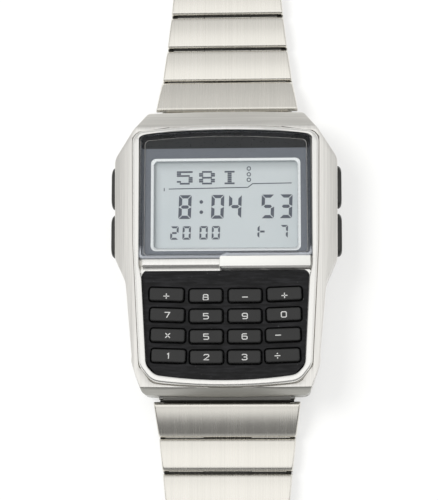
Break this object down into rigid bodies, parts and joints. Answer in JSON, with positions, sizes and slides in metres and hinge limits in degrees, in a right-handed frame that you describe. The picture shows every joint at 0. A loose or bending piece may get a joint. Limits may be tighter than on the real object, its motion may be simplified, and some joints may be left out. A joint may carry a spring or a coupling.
{
  "type": "digital calculator watch",
  "caption": "Steel digital watch with a keypad under its grey display, side pushers and a tapering hinged link bracelet, laid open.",
  "frame": {"origin": "middle of the case back's outer face", "axes": "+X points to 3 o'clock, +Y to 12 o'clock along the open bracelet, +Z out of the display"},
  "size_m": [0.0394, 0.1834, 0.0105],
  "materials": {
    "brushed_case": "fine brushed stainless steel",
    "polished_rim": "polished stainless steel with a brushed top",
    "crystal": "clear mineral glass",
    "seal": "black rubber",
    "mask": "printed film, black band over slate grey",
    "bright_frame": "bright bevelled metal",
    "display": "grey liquid crystal display with dark digits",
    "reflector": "white film",
    "connector_rubber": "silicone rubber",
    "keypad_plate": "glossy black with fine relief",
    "board": "green circuit board",
    "module_plastic": "grey moulded plastic",
    "cell": "nickel-plated steel",
    "spring_steel": "spring steel strip",
    "buzzer": "brass disc",
    "case_back": "brushed stainless steel",
    "screws": "bright turned steel",
    "pusher_black": "black, slightly glossy",
    "key_plastic": "charcoal moulded plastic with white symbols",
    "bracelet": "stainless steel brushed along the bracelet",
    "clasp": "brushed stainless steel"
  },
  "bodies": {
    "case": {"case_body": "brushed_case", "bezel_rim": "polished_rim", "crystal": "crystal", "crystal_gasket": "seal", "dial_mask": "mask", "lcd_frame": "bright_frame", "lcd_panel": "display", "lcd_reflector": "reflector", "lcd_connectors": "connector_rubber", "keypad_plate": "keypad_plate", "key_membrane": "connector_rubber", "circuit_board": "board", "module_frame": "module_plastic", "battery": "cell", "battery_clip": "spring_steel", "buzzer_element": "buzzer", "case_back_gasket": "seal", "case_back": "case_back", "case_back_screws": "screws", "case_spring_bars": "screws", "pusher_springs": "screws", "pusher_seals": "seal"},
    "pusher_upper_left": {"pusher_upper_left": "pusher_black"},
    "pusher_lower_left": {"pusher_lower_left": "pusher_black"},
    "pusher_upper_right": {"pusher_upper_right": "pusher_black"},
    "pusher_lower_right": {"pusher_lower_right": "pusher_black"},
    "key_r1c1": {"key_r1c1": "key_plastic"},
    "key_r1c2": {"key_r1c2": "key_plastic"},
    "key_r1c3": {"key_r1c3": "key_plastic"},
    "key_r1c4": {"key_r1c4": "key_plastic"},
    "key_r2c1": {"key_r2c1": "key_plastic"},
    "key_r2c2": {"key_r2c2": "key_plastic"},
    "key_r2c3": {"key_r2c3": "key_plastic"},
    "key_r2c4": {"key_r2c4": "key_plastic"},
    "key_r3c1": {"key_r3c1": "key_plastic"},
    "key_r3c2": {"key_r3c2": "key_plastic"},
    "key_r3c3": {"key_r3c3": "key_plastic"},
    "key_r3c4": {"key_r3c4": "key_plastic"},
    "key_r4c1": {"key_r4c1": "key_plastic"},
    "key_r4c2": {"key_r4c2": "key_plastic"},
    "key_r4c3": {"key_r4c3": "key_plastic"},
    "key_r4c4": {"key_r4c4": "key_plastic"},
    "link_upper_1": {"link_upper_1": "bracelet"},
    "link_upper_2": {"link_upper_2": "bracelet"},
    "link_upper_3": {"link_upper_3": "bracelet"},
    "link_upper_4": {"link_upper_4": "bracelet"},
    "link_upper_5": {"link_upper_5": "bracelet"},
    "link_upper_6": {"link_upper_6": "bracelet"},
    "link_upper_7": {"link_upper_7": "bracelet"},
    "link_upper_8": {"link_upper_8": "bracelet"},
    "link_lower_1": {"link_lower_1": "bracelet"},
    "link_lower_2": {"link_lower_2": "bracelet"},
    "link_lower_3": {"link_lower_3": "bracelet"},
    "link_lower_4": {"link_lower_4": "bracelet"},
    "link_lower_5": {"link_lower_5": "bracelet"},
    "link_lower_6": {"link_lower_6": "bracelet"},
    "link_lower_7": {"link_lower_7": "bracelet"},
    "clasp_frame": {"clasp_frame": "clasp"},
    "clasp_cover": {"clasp_cover": "clasp"},
    "clasp_tongue": {"clasp_tongue": "clasp"}
  },
  "joints": [
    {"name": "pusher_upper_left_press", "type": "slide", "parent": "case", "child": "pusher_upper_left", "axis": [1, 0, 0], "range_m": [0, 0.0006], "stiffness_N_per_m": 200},
    {"name": "pusher_lower_left_press", "type": "slide", "parent": "case", "child": "pusher_lower_left", "axis": [1, 0, 0], "range_m": [0, 0.0006], "stiffness_N_per_m": 200},
    {"name": "pusher_upper_right_press", "type": "slide", "parent": "case", "child": "pusher_upper_right", "axis": [-1, 0, 0], "range_m": [0, 0.0006], "stiffness_N_per_m": 200},
    {"name": "pusher_lower_right_press", "type": "slide", "parent": "case", "child": "pusher_lower_right", "axis": [-1, 0, 0], "range_m": [0, 0.0006], "stiffness_N_per_m": 200},
    {"name": "key_r1c1_press", "type": "slide", "parent": "case", "child": "key_r1c1", "axis": [0, 0, -1], "range_m": [0, 0.00035], "stiffness_N_per_m": 150},
    {"name": "key_r1c2_press", "type": "slide", "parent": "case", "child": "key_r1c2", "axis": [0, 0, -1], "range_m": [0, 0.00035], "stiffness_N_per_m": 150},
    {"name": "key_r1c3_press", "type": "slide", "parent": "case", "child": "key_r1c3", "axis": [0, 0, -1], "range_m": [0, 0.00035], "stiffness_N_per_m": 150},
    {"name": "key_r1c4_press", "type": "slide", "parent": "case", "child": "key_r1c4", "axis": [0, 0, -1], "range_m": [0, 0.00035], "stiffness_N_per_m": 150},
    {"name": "key_r2c1_press", "type": "slide", "parent": "case", "child": "key_r2c1", "axis": [0, 0, -1], "range_m": [0, 0.00035], "stiffness_N_per_m": 150},
    {"name": "key_r2c2_press", "type": "slide", "parent": "case", "child": "key_r2c2", "axis": [0, 0, -1], "range_m": [0, 0.00035], "stiffness_N_per_m": 150},
    {"name": "key_r2c3_press", "type": "slide", "parent": "case", "child": "key_r2c3", "axis": [0, 0, -1], "range_m": [0, 0.00035], "stiffness_N_per_m": 150},
    {"name": "key_r2c4_press", "type": "slide", "parent": "case", "child": "key_r2c4", "axis": [0, 0, -1], "range_m": [0, 0.00035], "stiffness_N_per_m": 150},
    {"name": "key_r3c1_press", "type": "slide", "parent": "case", "child": "key_r3c1", "axis": [0, 0, -1], "range_m": [0, 0.00035], "stiffness_N_per_m": 150},
    {"name": "key_r3c2_press", "type": "slide", "parent": "case", "child": "key_r3c2", "axis": [0, 0, -1], "range_m": [0, 0.00035], "stiffness_N_per_m": 150},
    {"name": "key_r3c3_press", "type": "slide", "parent": "case", "child": "key_r3c3", "axis": [0, 0, -1], "range_m": [0, 0.00035], "stiffness_N_per_m": 150},
    {"name": "key_r3c4_press", "type": "slide", "parent": "case", "child": "key_r3c4", "axis": [0, 0, -1], "range_m": [0, 0.00035], "stiffness_N_per_m": 150},
    {"name": "key_r4c1_press", "type": "slide", "parent": "case", "child": "key_r4c1", "axis": [0, 0, -1], "range_m": [0, 0.00035], "stiffness_N_per_m": 150},
    {"name": "key_r4c2_press", "type": "slide", "parent": "case", "child": "key_r4c2", "axis": [0, 0, -1], "range_m": [0, 0.00035], "stiffness_N_per_m": 150},
    {"name": "key_r4c3_press", "type": "slide", "parent": "case", "child": "key_r4c3", "axis": [0, 0, -1], "range_m": [0, 0.00035], "stiffness_N_per_m": 150},
    {"name": "key_r4c4_press", "type": "slide", "parent": "case", "child": "key_r4c4", "axis": [0, 0, -1], "range_m": [0, 0.00035], "stiffness_N_per_m": 150},
    {"name": "link_upper_1_hinge", "type": "hinge", "parent": "case", "child": "link_upper_1", "pos_m": [0, 0.0239, 0.00372], "axis": [-1, 0, 0], "range_deg": [-18, 41]},
    {"name": "link_upper_2_hinge", "type": "hinge", "parent": "link_upper_1", "child": "link_upper_2", "pos_m": [0, 0.03095, 0.00115], "axis": [-1, 0, 0], "range_deg": [-2, 31]},
    {"name": "link_upper_3_hinge", "type": "hinge", "parent": "link_upper_2", "child": "link_upper_3", "pos_m": [0, 0.03695, 0.00115], "axis": [-1, 0, 0], "range_deg": [-18, 12]},
    {"name": "link_upper_4_hinge", "type": "hinge", "parent": "link_upper_3", "child": "link_upper_4", "pos_m": [0, 0.04295, 0.00115], "axis": [-1, 0, 0], "range_deg": [-18, 12]},
    {"name": "link_upper_5_hinge", "type": "hinge", "parent": "link_upper_4", "child": "link_upper_5", "pos_m": [0, 0.04895, 0.00115], "axis": [-1, 0, 0], "range_deg": [-18, 12]},
    {"name": "link_upper_6_hinge", "type": "hinge", "parent": "link_upper_5", "child": "link_upper_6", "pos_m": [0, 0.05495, 0.00115], "axis": [-1, 0, 0], "range_deg": [-18, 12]},
    {"name": "link_upper_7_hinge", "type": "hinge", "parent": "link_upper_6", "child": "link_upper_7", "pos_m": [0, 0.06095, 0.00115], "axis": [-1, 0, 0], "range_deg": [-18, 12]},
    {"name": "link_upper_8_hinge", "type": "hinge", "parent": "link_upper_7", "child": "link_upper_8", "pos_m": [0, 0.06695, 0.00115], "axis": [-1, 0, 0], "range_deg": [-18, 12]},
    {"name": "clasp_frame_hinge", "type": "hinge", "parent": "link_upper_8", "child": "clasp_frame", "pos_m": [0, 0.07295, 0.00115], "axis": [-1, 0, 0], "range_deg": [-18, 36]},
    {"name": "link_lower_1_hinge", "type": "hinge", "parent": "case", "child": "link_lower_1", "pos_m": [0, -0.0239, 0.00372], "axis": [1, 0, 0], "range_deg": [-18, 41]},
    {"name": "link_lower_2_hinge", "type": "hinge", "parent": "link_lower_1", "child": "link_lower_2", "pos_m": [0, -0.03095, 0.00115], "axis": [1, 0, 0], "range_deg": [-2, 31]},
    {"name": "link_lower_3_hinge", "type": "hinge", "parent": "link_lower_2", "child": "link_lower_3", "pos_m": [0, -0.03695, 0.00115], "axis": [1, 0, 0], "range_deg": [-18, 12]},
    {"name": "link_lower_4_hinge", "type": "hinge", "parent": "link_lower_3", "child": "link_lower_4", "pos_m": [0, -0.04295, 0.00115], "axis": [1, 0, 0], "range_deg": [-18, 12]},
    {"name": "link_lower_5_hinge", "type": "hinge", "parent": "link_lower_4", "child": "link_lower_5", "pos_m": [0, -0.04895, 0.00115], "axis": [1, 0, 0], "range_deg": [-18, 12]},
    {"name": "link_lower_6_hinge", "type": "hinge", "parent": "link_lower_5", "child": "link_lower_6", "pos_m": [0, -0.05495, 0.00115], "axis": [1, 0, 0], "range_deg": [-18, 12]},
    {"name": "link_lower_7_hinge", "type": "hinge", "parent": "link_lower_6", "child": "link_lower_7", "pos_m": [0, -0.06095, 0.00115], "axis": [1, 0, 0], "range_deg": [-18, 12]},
    {"name": "clasp_tongue_hinge", "type": "hinge", "parent": "link_lower_7", "child": "clasp_tongue", "pos_m": [0, -0.06695, 0.00115], "axis": [1, 0, 0], "range_deg": [-18, 48]},
    {"name": "clasp_cover_hinge", "type": "hinge", "parent": "clasp_frame", "child": "clasp_cover", "pos_m": [0, 0.07615, 0.00105], "axis": [1, 0, 0], "range_deg": [0, 95]}
  ]
}
